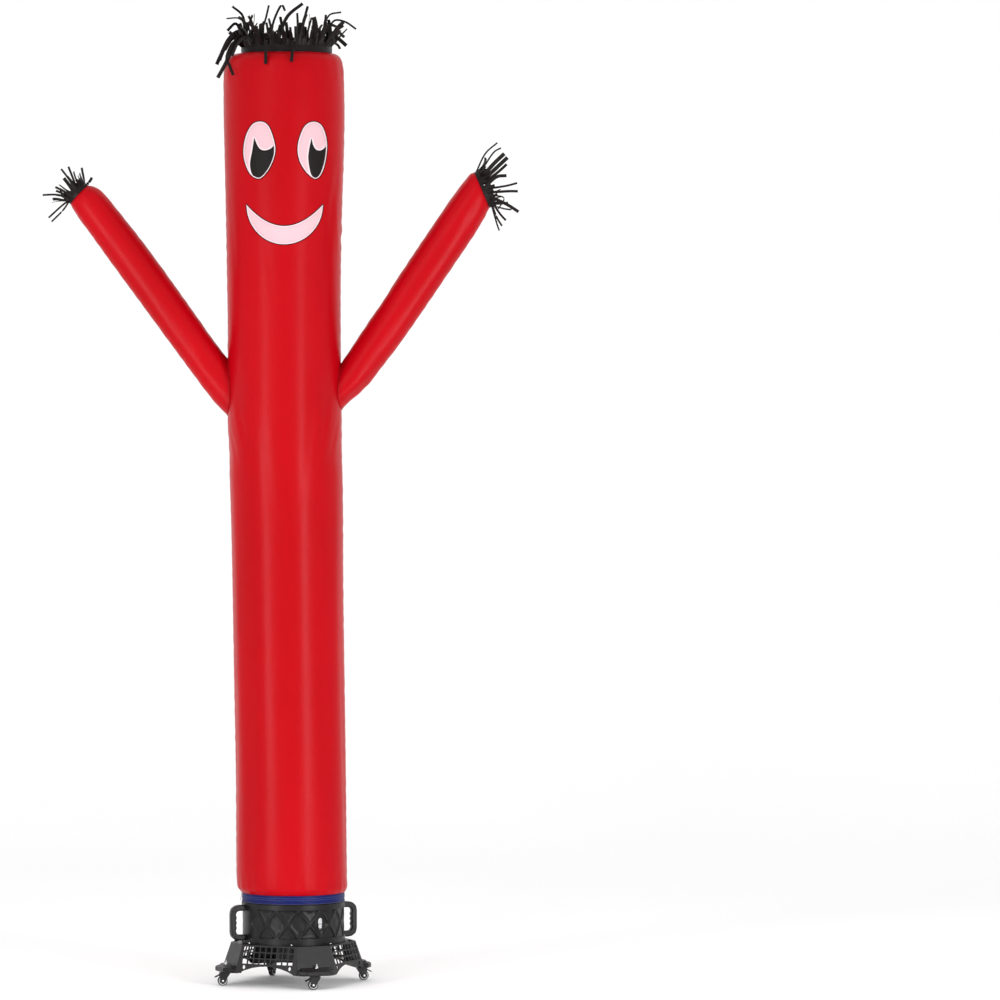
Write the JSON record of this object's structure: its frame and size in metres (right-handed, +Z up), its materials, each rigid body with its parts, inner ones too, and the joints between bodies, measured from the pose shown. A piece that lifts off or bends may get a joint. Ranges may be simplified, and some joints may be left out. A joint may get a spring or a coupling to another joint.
{
  "type": "inflatable air dancer on a wheeled blower",
  "caption": "Blown-up nylon tube figure with two raised arms, a sewn-on smiling face and strip hair, standing on a round blower with braked swivel casters.",
  "frame": {"origin": "on the floor, below the middle of the whole object's box; the blower's axis is 50 mm along +X from it", "axes": "+Z up, the face looks towards -Y, +X to the viewer's right"},
  "size_m": [2.0303, 0.6461, 4.0644],
  "materials": {
    "red_nylon": "thin shiny ripstop nylon, blown taut",
    "blue_nylon": "plain woven nylon band",
    "black_strip": "crisp cut nylon strip",
    "pink_patch": "sewn nylon patch with a pale edge",
    "dark_patch": "sewn nylon patch",
    "black_plastic": "moulded, satin",
    "hook_tape": "fine hooks",
    "tyre_black": "smooth tread, pale rim",
    "zinc": "bright zinc plate",
    "black_steel": "satin black"
  },
  "bodies": {
    "dancer": {"arm_left": "red_nylon", "arm_right": "red_nylon", "barrel": "black_plastic", "base": "black_plastic", "body_tube": "red_nylon", "bracket_back": "zinc", "bracket_front": "zinc", "caster_stud_back": "zinc", "caster_stud_front": "zinc", "caster_stud_left": "zinc", "caster_stud_right": "zinc", "collar": "blue_nylon", "collar_strap": "black_strip", "eye_left": "pink_patch", "eye_right": "pink_patch", "hand_fringe_left": "black_strip", "hand_fringe_right": "black_strip", "handle_left": "black_plastic", "handle_right": "black_plastic", "head_fringe": "black_strip", "hook_tape": "hook_tape", "motor": "black_steel", "motor_bracket": "zinc", "mouth": "pink_patch", "pupil_left": "dark_patch", "pupil_right": "dark_patch", "tie_ring_back": "black_steel", "tie_ring_front": "black_steel"},
    "caster_front": {"caster_fork_front": "black_steel"},
    "caster_wheel_front": {"wheel_front": "tyre_black"},
    "brake_pedal_front": {"pedal_front": "black_plastic"},
    "caster_right": {"caster_fork_right": "black_steel"},
    "caster_wheel_right": {"wheel_right": "tyre_black"},
    "brake_pedal_right": {"pedal_right": "black_plastic"},
    "caster_back": {"caster_fork_back": "black_steel"},
    "caster_wheel_back": {"wheel_back": "tyre_black"},
    "brake_pedal_back": {"pedal_back": "black_plastic"},
    "caster_left": {"caster_fork_left": "black_steel"},
    "caster_wheel_left": {"wheel_left": "tyre_black"},
    "brake_pedal_left": {"pedal_left": "black_plastic"}
  },
  "joints": [
    {"name": "caster_front_swivel", "type": "hinge", "parent": "dancer", "child": "caster_front", "pos_m": [0.15584, -0.27429, 0.05], "axis": [0, 0, 1], "continuous": true},
    {"name": "wheel_front_spin", "type": "hinge", "parent": "caster_front", "child": "caster_wheel_front", "pos_m": [0.14019, -0.27761, 0.02028], "axis": [0.2079, -0.9781, 0], "continuous": true},
    {"name": "brake_front_press", "type": "hinge", "parent": "caster_front", "child": "brake_pedal_front", "pos_m": [0.13383, -0.27897, 0.0445], "axis": [0.2079, -0.9781, 0], "range_deg": [0, 15]},
    {"name": "caster_right_swivel", "type": "hinge", "parent": "dancer", "child": "caster_right", "pos_m": [0.32429, 0.10584, 0.05], "axis": [0, 0, 1], "continuous": true},
    {"name": "wheel_right_spin", "type": "hinge", "parent": "caster_right", "child": "caster_wheel_right", "pos_m": [0.33994, 0.10917, 0.02028], "axis": [-0.2079, 0.9781, 0], "continuous": true},
    {"name": "brake_right_press", "type": "hinge", "parent": "caster_right", "child": "brake_pedal_right", "pos_m": [0.3463, 0.11052, 0.0445], "axis": [-0.2079, 0.9781, 0], "range_deg": [0, 15]},
    {"name": "caster_back_swivel", "type": "hinge", "parent": "dancer", "child": "caster_back", "pos_m": [-0.05584, 0.27429, 0.05], "axis": [0, 0, 1], "continuous": true},
    {"name": "wheel_back_spin", "type": "hinge", "parent": "caster_back", "child": "caster_wheel_back", "pos_m": [-0.04883, 0.28867, 0.02028], "axis": [-0.8988, 0.4384, 0], "continuous": true},
    {"name": "brake_back_press", "type": "hinge", "parent": "caster_back", "child": "brake_pedal_back", "pos_m": [-0.04598, 0.29451, 0.0445], "axis": [-0.8988, 0.4384, 0], "range_deg": [0, 15]},
    {"name": "caster_left_swivel", "type": "hinge", "parent": "dancer", "child": "caster_left", "pos_m": [-0.22429, -0.10584, 0.05], "axis": [0, 0, 1], "continuous": true},
    {"name": "wheel_left_spin", "type": "hinge", "parent": "caster_left", "child": "caster_wheel_left", "pos_m": [-0.24005, -0.10862, 0.02028], "axis": [0.1736, -0.9848, 0], "continuous": true},
    {"name": "brake_left_press", "type": "hinge", "parent": "caster_left", "child": "brake_pedal_left", "pos_m": [-0.24645, -0.10975, 0.0445], "axis": [0.1736, -0.9848, 0], "range_deg": [0, 15]}
  ]
}
